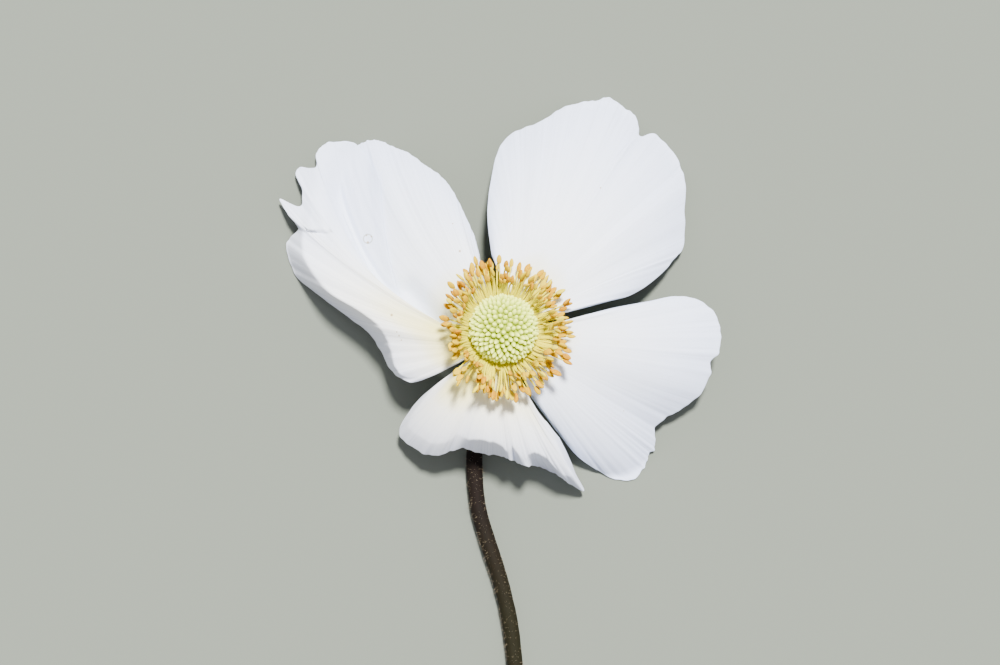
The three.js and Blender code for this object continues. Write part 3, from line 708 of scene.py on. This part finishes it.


# Living stem skin under down: dull, with faint long streaks and no highlight. Its brown and olive
# are darkened to near black as painted shade.
def stalk_surface():
    material, tree, shader = new_material("downy_stalk_darkened_as_painted_shade")
    place = add(tree, "ShaderNodeTexCoord").outputs["Object"]
    along = add(tree, "ShaderNodeMapping", {
        "Vector": place, "Scale": (RIBS_ACROSS / MM, RIBS_ALONG / MM, RIBS_ACROSS / MM)})
    ribs = add(tree, "ShaderNodeTexNoise", {"Vector": along, "Scale": 1.0, "Detail": 4.0})
    flush = add(tree, "ShaderNodeTexNoise", {"Vector": place, "Scale": FLUSHES / MM, "Detail": 2.0})
    blend = add(tree, "ShaderNodeMath", {0: ribs, 1: flush}, operation="MULTIPLY")
    flushed = add(tree, "ShaderNodeMapRange", {"Value": blend, "From Min": 0.12, "From Max": 0.4})
    along_y = add(tree, "ShaderNodeSeparateXYZ", {"Vector": place}).outputs["Y"]
    lower_down = add(tree, "ShaderNodeMapRange", {
        "Value": along_y, "From Min": (BLOOM[1] - OLIVE[0]) * MM,
        "From Max": (BLOOM[1] - OLIVE[1]) * MM})
    from_knob = add(tree, "ShaderNodeVectorMath", {
        0: place, 1: tuple(from_head((0, 0, 0)) * MM)}, operation="DISTANCE")
    in_knob = add(tree, "ShaderNodeMapRange", {
        "Value": from_knob, "From Min": KNOB[0] * MM, "From Max": KNOB[1] * MM,
        "To Min": 1.0, "To Max": 0.0})
    # Near-black brown, olive lower down: the stalk's own colours darkened as painted shade. The knob
    # keeps its own yellow-green.
    colour = linear("#0d0703")
    for share, tint in [(flushed, "#130904"), (lower_down, "#141204"), (in_knob, "#7e8030")]:
        colour = add(tree, "ShaderNodeMix", {"Factor": share, "A": colour, "B": linear(tint)},
                     data_type="RGBA")
    bump = add(tree, "ShaderNodeBump", {"Height": ribs, "Strength": 0.5, "Distance": 0.08 * MM})
    fill(shader, {
        "Base Color": colour, "Normal": bump, "Roughness": 0.8, "Specular IOR Level": 0.15,
        "Subsurface Weight": 0.1, "Subsurface Radius": (1.0, 0.6, 0.3),
        "Subsurface Scale": 0.4 * MM})
    return material


# %% Stalk and receptacle
STALK_RADIUS = 1.1
STALK_LIFT = 1.15                 # of its middle above the table, with room for its down
STALK_BEND = [(-0.97, -0.87, 7.5), (-1.3, -1.5, 5.6), (-1.9, -3.5, 3.2), (-2.7, -7.6, 1.5)]
STALK_ON_TABLE = [
    (-3.6, -13.0), (-4.1, -18.1), (-3.6, -24.4), (-2.2, -29.5), (-0.5, -34.8), (0.7, -39.9),
    (1.4, -45.1), (1.8, -51.0), (1.5, -59.0), (0.4, -68.0), (-1.4, -77.0), (-3.3, -85.0)]
# Height above the tepals' roots, and radius there.
RECEPTACLE = [
    (0.85, 2.2), (0.7, 2.45), (0.4, 2.6), (0.0, 2.6), (-0.3, 2.6), (-0.8, 2.5), (-1.5, 1.9),
    (-2.1, 1.45), (-2.6, 1.24)]
UNEVENNESS = 0.012                # of the radius at each point; five neighbours add up

knob = through([[*(from_head((0, 0, height)) - BLOOM), radius] for height, radius in RECEPTACLE], 4)
bend = [(*point, STALK_RADIUS) for point in STALK_BEND]
laid = [(x, y, STALK_LIFT, STALK_RADIUS) for x, y in STALK_ON_TABLE]
shaft = through(bend + laid, 10)
wobble = np.random.default_rng(11).normal(0, UNEVENNESS, len(shaft))
shaft[:, 3] += np.convolve(wobble, np.ones(5), mode="same")
stalk_line = np.vstack([knob, shaft])
stalk_path = paths_object("stalk_path", [stalk_line[:, :3] + BLOOM], [stalk_line[:, 3]])
stalk = run_tree(stalk_path, sweep, "stalk_and_receptacle", Sides=28, Material=stalk_surface())
finish_piece(stalk, "stalk", "stalk")
run = np.linalg.norm(np.diff(stalk_line[:, :3], axis=0), axis=1).sum()
print("the stalk is", round(run), "mm long")

# %% [markdown]
# ## Stamens
#
# Some two hundred stamens stand round the pistils. Each filament rises from the rim of the
# receptacle and leans outward, and carries an anther of two long pollen sacs. A rule alone would
# spread them too evenly, because some stand in tufts, and the ring is looser on the right. So each
# of the upper anthers has its place in a list, by its bearing and its distance from the head's axis,
# with a letter for its colour: golden, orange, peach or cream. The heights follow a rule: the nearer
# to the pistils, the higher. The rest are shorter and fill the gaps below, where chance will do.

# %% The upper stamens
UPPER_ANTHERS = """
1 8.1 p, 2 7.1 p, 7 7.7 c, 10 6.3 g, 17 6.7 g, 22 9.2 o, 34 9.2 c, 37 6.3 g, 40 6.4 p, 44 7.1 g,
44 8.7 c, 52 6.9 g, 62 7.5 p, 67 8.0 p, 71 7.5 g, 87 8.0 p, 89 8.6 o, 94 9.3 p, 102 7.6 g, 102 9.0 o,
109 8.9 o, 113 9.8 p, 118 9.2 p, 127 8.3 p, 129 7.4 g, 135 8.2 o, 140 7.1 g, 142 9.1 p, 146 8.1 o,
152 7.5 p, 156 8.4 c, 163 7.4 g, 169 7.3 o, 178 7.8 p, 185 7.4 p, 188 6.7 o, 192 7.4 p, 199 7.3 p,
205 7.2 p, 206 7.8 p, 224 6.8 g, 226 8.1 p, 228 9.0 p, 229 9.6 p, 239 7.0 g, 245 9.2 c, 247 7.8 o,
249 8.6 p, 257 8.1 c, 259 6.5 g, 266 8.2 c, 272 9.0 c, 275 7.4 g, 277 8.2 p, 286 6.8 g, 288 7.6 g,
300 7.4 p, 307 8.2 c, 309 6.8 g, 314 6.6 g, 319 9.1 o, 323 7.4 g, 332 9.6 o, 336 7.3 c, 336 9.2 o,
353 9.1 p, 356 7.3 g
"""
TINTS = {"c": 0.0, "p": 0.33, "o": 0.67, "g": 1.0}

stamens = []
for entry in UPPER_ANTHERS.replace("\n", " ").split(","):
    bearing, radius, letter = entry.split()
    stamens.append((float(bearing), float(radius), TINTS[letter], 0.0))
print(len(stamens), "upper stamens")

# %% The shorter stamens
SHORT_STAMENS = 155
SHORT_BY = 1.2                    # how much lower they end
SHORT_REACH = (6.6, 9.4)
TIGHT_BEARING, TIGHT_SPREAD = 182, 45    # where the ring is narrowest, and how far round
TIGHT_BY = 1.3


def chance(seed, low=0.0, high=1.0):
    """A repeatable random number for each whole number."""
    wave = math.sin(seed * 12.9898 + 4.137) * 43758.5453
    return mix(low, high, wave - math.floor(wave))


for k in range(SHORT_STAMENS):
    bearing = 360 * (k + chance(k + 700, 0.1, 0.9)) / SHORT_STAMENS
    drawn_in = TIGHT_BY * math.exp(-((bearing - TIGHT_BEARING) / TIGHT_SPREAD) ** 2)
    radius = max(chance(k + 800, *SHORT_REACH) - drawn_in, SHORT_REACH[0])
    stamens.append((bearing, radius, chance(k + 900, 0.1, 0.9), SHORT_BY))
print(len(stamens), "stamens")

# %% From each root to each tip
FILAMENT_ROOT = (4.15, 1.25)      # distance from the head's axis, and height above the tepals' roots
FILAMENT_ELBOW = (5.85, 2.1)
INNER_TIP, OUTER_TIP = (6.3, 5.0), (9.6, 3.3)
FILAMENT_RADII = (0.17, 0.11)     # at the root and at the tip
FILAMENT_POINTS = 12
ANTHER_SEAT = 0.5                 # how far an anther's middle stands out from its filament's tip
UP = np.array([0, 0, 1])
# How each stamen differs from the rule: where these random numbers start, and their range.
SCATTER = {
    "height": (200, -0.4, 0.4), "root": (300, -0.35, 0.35), "elbow": (500, -0.3, 0.3),
    "outward aim": (400, -0.15, 0.45), "sideways aim": (600, -0.3, 0.3)}

filaments, girths, tips, aims = [], [], [], []
t = np.linspace(0, 1, FILAMENT_POINTS)[:, None]
for number, (bearing, radius, _, short_by) in enumerate(stamens):
    own = {what: chance(number + first, low, high) for what, (first, low, high) in SCATTER.items()}
    outward = np.array([math.cos(math.radians(bearing)), math.sin(math.radians(bearing)), 0])
    sideways = np.cross(UP, outward)
    height = mix(INNER_TIP[1], OUTER_TIP[1], (radius - INNER_TIP[0]) / (OUTER_TIP[0] - INNER_TIP[0]))
    height += own["height"] - short_by
    root = outward * FILAMENT_ROOT[0] + UP * FILAMENT_ROOT[1] + sideways * own["root"]
    elbow = outward * FILAMENT_ELBOW[0] + UP * FILAMENT_ELBOW[1] + sideways * own["elbow"]
    tip = outward * (radius - ANTHER_SEAT) + UP * height
    path = (1 - t) ** 2 * root + 2 * t * (1 - t) * elbow + t ** 2 * tip
    filaments.append([from_head(point) for point in path])
    girths.append(mix(*FILAMENT_RADII, t[:, 0]))
    aim = (tip - elbow) / np.linalg.norm(tip - elbow)
    aim = aim + outward * own["outward aim"] + sideways * own["sideways aim"]
    tips.append(from_head(tip))
    aims.append(head_turn @ Vector(aim).normalized())
lengths = [np.linalg.norm(np.diff(path, axis=0), axis=1).sum() for path in filaments]
print("the filaments are", round(min(lengths), 1), "to", round(max(lengths), 1), "mm long")

# %% [markdown]
# ## Filaments and anthers
#
# The filaments are swept by the same tree as the stalk, only thinner. For the anthers, a second
# tree sets one small mesh on each tip, turned to its aim, rolled and sized at random from a fixed
# seed. The colour letter travels along as an attribute, so one material can paint all of them.

# %% Filament material
# Smooth living tissue full of sap: pale, a little translucent, and greener near the head.
def filament_surface():
    material, tree, shader = new_material("pale_filament_tissue")
    place = add(tree, "ShaderNodeTexCoord").outputs["Object"]
    apart = add(tree, "ShaderNodeVectorMath", {
        0: place, 1: tuple(from_head((0, 0, 2)) * MM)}, operation="DISTANCE")
    outward = add(tree, "ShaderNodeMapRange", {
        "Value": apart, "From Min": 4.6 * MM, "From Max": 8.0 * MM})
    colour = add(tree, "ShaderNodeMix", {
        "Factor": outward, "A": linear("#d0c400"), "B": linear("#dccc28")}, data_type="RGBA")
    fill(shader, {
        "Base Color": colour, "Roughness": 0.7, "Specular IOR Level": 0.15,
        "Subsurface Weight": 0.25, "Subsurface Radius": (1.0, 0.8, 0.3),
        "Subsurface Scale": 0.3 * MM})
    return material


# %% Filaments
filament_paths = paths_object("filament_paths", filaments, girths)
filament_ring = run_tree(filament_paths, sweep, "filaments", Sides=7, Material=filament_surface())
finish_piece(filament_ring, "stamen", "stamens")

# %% Anther material
POLLEN_PER_MM = 5.0               # drawn coarser than real grains, so that it shows
ANTHER_COLOURS = ("#d8c438", "#c8a000", "#b87800", "#c2a600")    # cream, peach, orange, golden


# Thin dry skin dusted with pollen: grainy and fully matt.
def anther_surface():
    material, tree, shader = new_material("pollen_sac_skin")
    place = add(tree, "ShaderNodeTexCoord").outputs["Object"]
    tint = add(tree, "ShaderNodeAttribute", attribute_name="tint").outputs["Fac"]
    ramp = add(tree, "ShaderNodeValToRGB", {"Fac": tint})
    stops = ramp.color_ramp.elements
    while len(stops) < len(ANTHER_COLOURS):
        stops.new(0.5)
    for k, colour in enumerate(ANTHER_COLOURS):
        stops[k].position = k / (len(ANTHER_COLOURS) - 1)
        stops[k].color = linear(colour)
    pollen = add(tree, "ShaderNodeTexNoise", {
        "Vector": place, "Scale": POLLEN_PER_MM / MM, "Detail": 2.0})
    dusted = add(tree, "ShaderNodeMapRange", {
        "Value": pollen, "From Min": 0.45, "From Max": 0.7, "To Max": 0.4})
    colour = add(tree, "ShaderNodeMix", {"Factor": dusted, "A": ramp, "B": linear("#d0c400")},
                 data_type="RGBA")
    bump = add(tree, "ShaderNodeBump", {"Height": pollen, "Strength": 0.6, "Distance": 0.05 * MM})
    fill(shader, {
        "Base Color": colour, "Normal": bump, "Roughness": 0.9, "Specular IOR Level": 0.1})
    return material


# %% Anther shape
ANTHER_LENGTH, ANTHER_WIDTH, ANTHER_DEPTH = 1.5, 0.86, 0.62
ANTHER_SIDES, ANTHER_RINGS = 14, 9
ANTHER_FOOT = 0.1                 # share of its length below the filament's tip
ANTHER_TAPER, GROOVE_DEPTH = 0.18, 0.3


def lathe_faces(sides, rings):
    """Quads between rings of points, each ring listed counterclockwise and above the last one."""
    side = np.arange(sides)
    beside = np.roll(side, -1)
    quads = np.column_stack([side, beside, beside + sides, side + sides])
    return [tuple(quad) for ring in range(rings - 1) for quad in (quads + ring * sides).tolist()]


def anther_mesh():
    """Two long pollen sacs side by side, with a groove between them, standing on the filament."""
    points = []
    for ring in range(1, ANTHER_RINGS):
        up = ring / ANTHER_RINGS
        swell = math.sin(math.pi * up) ** 0.55 * (1 - ANTHER_TAPER * up)
        for side in range(ANTHER_SIDES):
            angle = 2 * math.pi * side / ANTHER_SIDES
            groove = 1 - GROOVE_DEPTH * abs(math.sin(angle)) ** 6
            points.append((0.5 * ANTHER_WIDTH * swell * math.cos(angle),
                           0.5 * ANTHER_DEPTH * swell * groove * math.sin(angle),
                           ANTHER_LENGTH * (up - ANTHER_FOOT)))
    faces = lathe_faces(ANTHER_SIDES, ANTHER_RINGS - 1)
    top, foot, tip = len(points) - ANTHER_SIDES, len(points), len(points) + 1
    points += [(0, 0, ANTHER_LENGTH * (up - ANTHER_FOOT)) for up in (0, 1)]
    for side in range(ANTHER_SIDES):
        beside = (side + 1) % ANTHER_SIDES
        faces += [(foot, beside, side), (top + side, top + beside, tip)]
    piece = new_mesh("anther_shape", points, faces)
    piece.data.shade_smooth()
    return piece


# %% Set the anthers on their filaments
def stand(tree, points, shape, aim, turn, scale):
    """Stands a shape on each point, along its aim, turned further by angles of its own."""
    form = add(tree, "GeometryNodeObjectInfo", {"Object": shape}).outputs["Geometry"]
    aimed = add(tree, "FunctionNodeAlignRotationToVector", {"Vector": aim}, axis="Z")
    turned = add(tree, "FunctionNodeRotateRotation", {"Rotation": aimed, "Rotate By": turn},
                 rotation_space="LOCAL")
    return add(tree, "GeometryNodeInstanceOnPoints", {
        "Points": points, "Instance": form, "Rotation": turned, "Scale": scale})


def plant_tree():
    """Sets one shape on each point, along the point's aim, with a random roll and size."""
    tree, given = new_tree("plant", Shape="Object", Seed="Int", Smallest="Float", Largest="Float",
                           Material="Material")
    aim = add(tree, "GeometryNodeInputNamedAttribute", {"Name": "aim"}, data_type="FLOAT_VECTOR")
    roll = add(tree, "FunctionNodeRandomValue", {
        "Min": (0, 0, 0), "Max": (0, 0, 2 * math.pi), "Seed": given["Seed"]},
        data_type="FLOAT_VECTOR")
    size = add(tree, "FunctionNodeRandomValue", {
        2: given["Smallest"], 3: given["Largest"], "Seed": given["Seed"]})
    planted = stand(tree, given["Geometry"], given["Shape"], aim, roll, size)
    return end_tree(tree, planted, given["Material"])


tip_points = new_mesh("anther_places", tips)
aim_layer = tip_points.data.attributes.new("aim", "FLOAT_VECTOR", "POINT")
aim_layer.data.foreach_set("vector", np.array(aims).ravel())
keep_values(tip_points.data, "tint", [tint for _, _, tint, _ in stamens])
anther_shape = anther_mesh()
anthers = run_tree(tip_points, plant_tree(), "anthers", Shape=anther_shape, Seed=5, Smallest=0.85,
                   Largest=1.1, Material=anther_surface())
bpy.data.objects.remove(anther_shape)
finish_piece(anthers, "stamen", "stamens")

# %% [markdown]
# ## The dome of pistils
#
# Some 250 carpels cover the head in crossing spirals. Each new carpel grows a golden angle round
# from the last one, which is the rule a sunflower follows too. They could be set by hand, but the
# rule is short, so the node tree works out every seat itself from its number: the share of the
# dome passed so far gives its height, and its number times the golden angle gives its bearing. A
# plain ellipsoid lies under them, in the shaded green of the gaps.

# %% Carpel material
MOTTLES_PER_MM = 0.9


# Young green tissue with a soft skin: dull, and lighter toward the thin tips.
def carpel_surface(name, base, tip):
    material, tree, shader = new_material(name)
    place = add(tree, "ShaderNodeTexCoord").outputs["Object"]
    up = add(tree, "ShaderNodeAttribute", attribute_name="tip").outputs["Fac"]
    mottle = add(tree, "ShaderNodeTexNoise", {
        "Vector": place, "Scale": MOTTLES_PER_MM / MM, "Detail": 2.0})
    shade = add(tree, "ShaderNodeMath", {0: mottle, 1: 0.3, 2: up}, operation="MULTIPLY_ADD")
    toward_tip = add(tree, "ShaderNodeMapRange", {"Value": shade, "From Min": 0.3, "From Max": 1.1})
    colour = add(tree, "ShaderNodeMix", {
        "Factor": toward_tip, "A": linear(base), "B": linear(tip)}, data_type="RGBA")
    fill(shader, {
        "Base Color": colour, "Roughness": 0.75, "Specular IOR Level": 0.15,
        "Subsurface Weight": 0.2, "Subsurface Radius": (0.7, 1.0, 0.4),
        "Subsurface Scale": 0.3 * MM})
    return material


# %% Carpel shape
CARPEL_RADIUS, CARPEL_HEIGHT = 0.38, 0.86
CARPEL_SIDES = 9
STYLE_BEND = 0.08                 # how far the tip leans over
# Radius and height, as shares of the carpel's.
CARPEL_PROFILE = [
    (0.75, -0.45), (1.0, -0.1), (1.0, 0.2), (0.88, 0.45), (0.66, 0.68), (0.42, 0.86), (0.2, 0.97)]


def carpel_mesh():
    """A plump carpel that ends in a short blunt style."""
    points, rises = [], []
    for radius, height in CARPEL_PROFILE:
        for side in range(CARPEL_SIDES):
            angle = 2 * math.pi * side / CARPEL_SIDES
            points.append((CARPEL_RADIUS * radius * math.cos(angle) + STYLE_BEND * height ** 3,
                           CARPEL_RADIUS * radius * math.sin(angle), CARPEL_HEIGHT * height))
            rises.append(max(height, 0.0))
    faces = lathe_faces(CARPEL_SIDES, len(CARPEL_PROFILE)) + [tuple(reversed(range(CARPEL_SIDES)))]
    top, tip = len(points) - CARPEL_SIDES, len(points)
    faces += [(top + side, top + (side + 1) % CARPEL_SIDES, tip) for side in range(CARPEL_SIDES)]
    piece = new_mesh("carpel_shape", points + [(STYLE_BEND, 0, CARPEL_HEIGHT * 1.02)], faces)
    keep_values(piece.data, "tip", rises + [1.0])
    piece.data.shade_smooth()
    return piece


# %% The spiral's rule
GOLDEN_ANGLE = math.pi * (3 - math.sqrt(5))
FIRST_SEAT = 0.4                  # how far the first carpel is from the very top, in carpels
CARPEL_TILT = 0.22                # most that a carpel leans at random, in radians
CARPEL_SIZES = (0.84, 1.12)

# Each step names a result, and gives two values or earlier results with what is done to them.
SPIRAL_STEPS = [
    ("passed", "number", "ADD", FIRST_SEAT), ("share", "passed", "DIVIDE", "Count"),
    ("span", 1.0, "ADD", "Drop"), ("fallen", "share", "MULTIPLY", "span"),
    ("up", 1.0, "SUBTRACT", "fallen"), ("up squared", "up", "MULTIPLY", "up"),
    ("ring squared", 1.0, "SUBTRACT", "up squared"), ("ring", "ring squared", "SQRT", 0.0),
    ("bearing", "number", "MULTIPLY", GOLDEN_ANGLE),
    ("cosine", "bearing", "COSINE", 0.0), ("east", "ring", "MULTIPLY", "cosine"),
    ("sine", "bearing", "SINE", 0.0), ("north", "ring", "MULTIPLY", "sine"),
    ("slimming", "up", "MULTIPLY", 0.1), ("plumpness", 1.06, "SUBTRACT", "slimming"),
    ("size", "random size", "MULTIPLY", "plumpness")]


def spiral_tree():
    """Sets shapes on an ellipsoid, each a golden angle round from the last one."""
    tree, given = new_tree("golden_spiral", Shape="Object", Count="Int", Radius="Float",
                           Height="Float", Drop="Float", Material="Material")
    line = add(tree, "GeometryNodeMeshLine", {"Count": given["Count"]})
    values = {socket.name: socket for socket in given}
    values["number"] = add(tree, "GeometryNodeInputIndex")
    values["random size"] = add(tree, "FunctionNodeRandomValue", {
        2: CARPEL_SIZES[0], 3: CARPEL_SIZES[1], "Seed": 4})
    for name, a, operation, b in SPIRAL_STEPS:
        values[name] = add(tree, "ShaderNodeMath", {0: values.get(a, a), 1: values.get(b, b)},
                           operation=operation)
    on_ball = add(tree, "ShaderNodeCombineXYZ", {
        0: values["east"], 1: values["north"], 2: values["up"]})
    sizes = add(tree, "ShaderNodeCombineXYZ", {
        0: given["Radius"], 1: given["Radius"], 2: given["Height"]})
    seat = add(tree, "ShaderNodeVectorMath", {0: on_ball, 1: sizes}, operation="MULTIPLY")
    normal = add(tree, "ShaderNodeVectorMath", {0: on_ball, 1: sizes}, operation="DIVIDE")
    seats = add(tree, "GeometryNodeSetPosition", {"Geometry": line, "Position": seat})
    tilt = add(tree, "FunctionNodeRandomValue", {
        "Min": (-CARPEL_TILT, -CARPEL_TILT, -math.pi),
        "Max": (CARPEL_TILT, CARPEL_TILT, math.pi), "Seed": 6}, data_type="FLOAT_VECTOR")
    planted = stand(tree, seats, given["Shape"], normal, tilt, values["size"])
    return end_tree(tree, planted, given["Material"])


# %% Carpels
DOME_RADIUS, DOME_HEIGHT, DOME_MIDDLE = 3.88, 3.2, 2.85
DOME_DROP = 0.3                   # the carpels end this share of a radius below the widest ring
CARPELS = 245

carpel_shape = carpel_mesh()
carpels = run_tree(
    new_mesh("spiral_seed", [(0, 0, 0)]), spiral_tree(), "carpels", Shape=carpel_shape,
    Count=CARPELS, Radius=DOME_RADIUS * MM, Height=DOME_HEIGHT * MM, Drop=DOME_DROP,
    Material=carpel_surface("green_carpel_skin", "#a4b414", "#f2ff74"))
bpy.data.objects.remove(carpel_shape)
dome_middle = Matrix.Translation((0, 0, DOME_MIDDLE * MM))
dome_frame = Matrix.Translation((BLOOM + HEAD) * MM) @ head_turn.to_4x4() @ dome_middle
carpels.data.transform(dome_frame)
finish_piece(carpels, "pistil", "pistil_head")

# %% The core under the carpels
CORE_SHARE = 0.98                 # of the dome's size
CORE_DEPTH = 1.4                  # how far it reaches below its widest ring

core_mesh = bmesh.new()
bmesh.ops.create_uvsphere(core_mesh, u_segments=48, v_segments=24, radius=CORE_SHARE * MM)
for vertex in core_mesh.verts:
    vertex.co.z *= DOME_HEIGHT if vertex.co.z > 0 else CORE_DEPTH
    vertex.co.xy = vertex.co.xy * DOME_RADIUS
core = new_mesh("pistil_core", [])
core_mesh.to_mesh(core.data)
core_mesh.free()
core.data.shade_smooth()
core.data.transform(dome_frame)
core.data.materials.append(carpel_surface("shaded_core_tissue", "#98a81c", "#b0bc3c"))
finish_piece(core, "pistil", "pistil_head")

# %% [markdown]
# ## Down on the stalk
#
# The whole plant is silky: fine white hairs stand out from the stalk. Hair curves would not
# survive an export, so each hair is a thin three-sided cone. A node tree scatters points over
# the stalk's faces, keeps those that don't point into the table, and sets a cone on each.

# %% Down material
HAIR_SHADES = 0.7                 # changes a millimetre


# Dry hollow plant hair: dull on the whole, with a thin glint here and there.
def down_surface():
    material, tree, shader = new_material("silky_plant_hair")
    place = add(tree, "ShaderNodeTexCoord").outputs["Object"]
    noise = add(tree, "ShaderNodeTexNoise", {"Vector": place, "Scale": HAIR_SHADES / MM})
    colour = add(tree, "ShaderNodeMix", {
        "Factor": noise, "A": linear("#9c9078"), "B": linear("#6e5f48")}, data_type="RGBA")
    fill(shader, {"Base Color": colour, "Roughness": 0.5})
    return material


# %% Down
HAIR_LENGTH, HAIR_RADIUS = 0.6, 0.018
HAIRS_PER_MM2 = 3.2
HAIR_LEANS = (-0.55, -0.55, -0.2), (0.55, 0.55, 0.4)
HAIR_SIZES = (0.5, 1.15)
LOWEST_FACING = -0.1              # below this a face looks into the table


def down_tree():
    """Scatters thin cones over a surface, each leaning its own way."""
    tree, given = new_tree("down", Density="Float", Length="Float", Radius="Float", Seed="Int",
                           Material="Material")
    scattered = add(tree, "GeometryNodeDistributePointsOnFaces", {
        "Mesh": given["Geometry"], "Density": given["Density"], "Seed": given["Seed"]})
    normal = scattered.outputs["Normal"]
    cone = add(tree, "GeometryNodeMeshCone", {
        "Vertices": 3, "Radius Top": 0.0, "Radius Bottom": given["Radius"],
        "Depth": given["Length"]}, fill_type="NONE")
    lean = add(tree, "FunctionNodeRandomValue", {
        "Min": HAIR_LEANS[0], "Max": HAIR_LEANS[1], "Seed": given["Seed"]},
        data_type="FLOAT_VECTOR")
    aim = add(tree, "ShaderNodeVectorMath", {0: normal, 1: lean}, operation="ADD")
    aimed = add(tree, "FunctionNodeAlignRotationToVector", {"Vector": aim}, axis="Z")
    facing = add(tree, "ShaderNodeSeparateXYZ", {"Vector": normal}).outputs["Z"]
    clear = add(tree, "FunctionNodeCompare", {0: facing, 1: LOWEST_FACING},
                data_type="FLOAT", operation="GREATER_THAN")
    size = add(tree, "FunctionNodeRandomValue", {
        2: HAIR_SIZES[0], 3: HAIR_SIZES[1], "Seed": given["Seed"]})
    planted = add(tree, "GeometryNodeInstanceOnPoints", {
        "Points": scattered, "Selection": clear, "Instance": cone, "Rotation": aimed,
        "Scale": size})
    return end_tree(tree, planted, given["Material"])


down_seat = bpy.data.objects.new("down_seat", stalk.data.copy())
bpy.context.scene.collection.objects.link(down_seat)
down = run_tree(down_seat, down_tree(), "stalk_down", Density=HAIRS_PER_MM2 / MM ** 2,
                Length=HAIR_LENGTH * MM, Radius=HAIR_RADIUS * MM, Seed=8, Material=down_surface())
finish_piece(down, "stalk")

# %% [markdown]
# ## The table and the light
#
# A white flower needs a ground a little darker than itself to show its edges, so the table is a
# plain pale grey-green. One large soft lamp stands high on the far side, low enough to draw the
# stamens' shadows on the tepals and to leave the turned-down lips in shade. Lamps from several
# sides would fill those in, so the only other light is the even one of the world around.

# %% Table
TABLE_REACH = 400

corners = [(-1, -1), (1, -1), (1, 1), (-1, 1)]
table = new_mesh("table", [(TABLE_REACH * x, TABLE_REACH * y, 0) for x, y in corners],
                 [(0, 1, 2, 3)])
# Matt card, which shows no highlight of the lamp.
card, _, card_shader = new_material("matt_card")
fill(card_shader, {"Base Color": linear("#666c62"), "Roughness": 0.9})
table.data.materials.append(card)

# %% Lights
LAMP_FROM = Vector((0.12, 0.46, 0.88))
LAMP_WIDTH = 9                    # in degrees, as seen from the flower
lamp_data = bpy.data.lights.new("key", "SUN")
lamp_data.energy = 14.5
lamp_data.angle = math.radians(LAMP_WIDTH)
lamp_data.color = (1.0, 0.985, 0.96)
lamp = bpy.data.objects.new("key", lamp_data)
lamp.rotation_euler = LAMP_FROM.to_track_quat("Z", "Y").to_euler()
bpy.context.scene.collection.objects.link(lamp)

world = bpy.data.worlds.new("studio")
world.use_nodes = True
fill(world.node_tree.nodes["Background"], {"Color": linear("#e8e6f2"), "Strength": 1.0})
bpy.context.scene.world = world
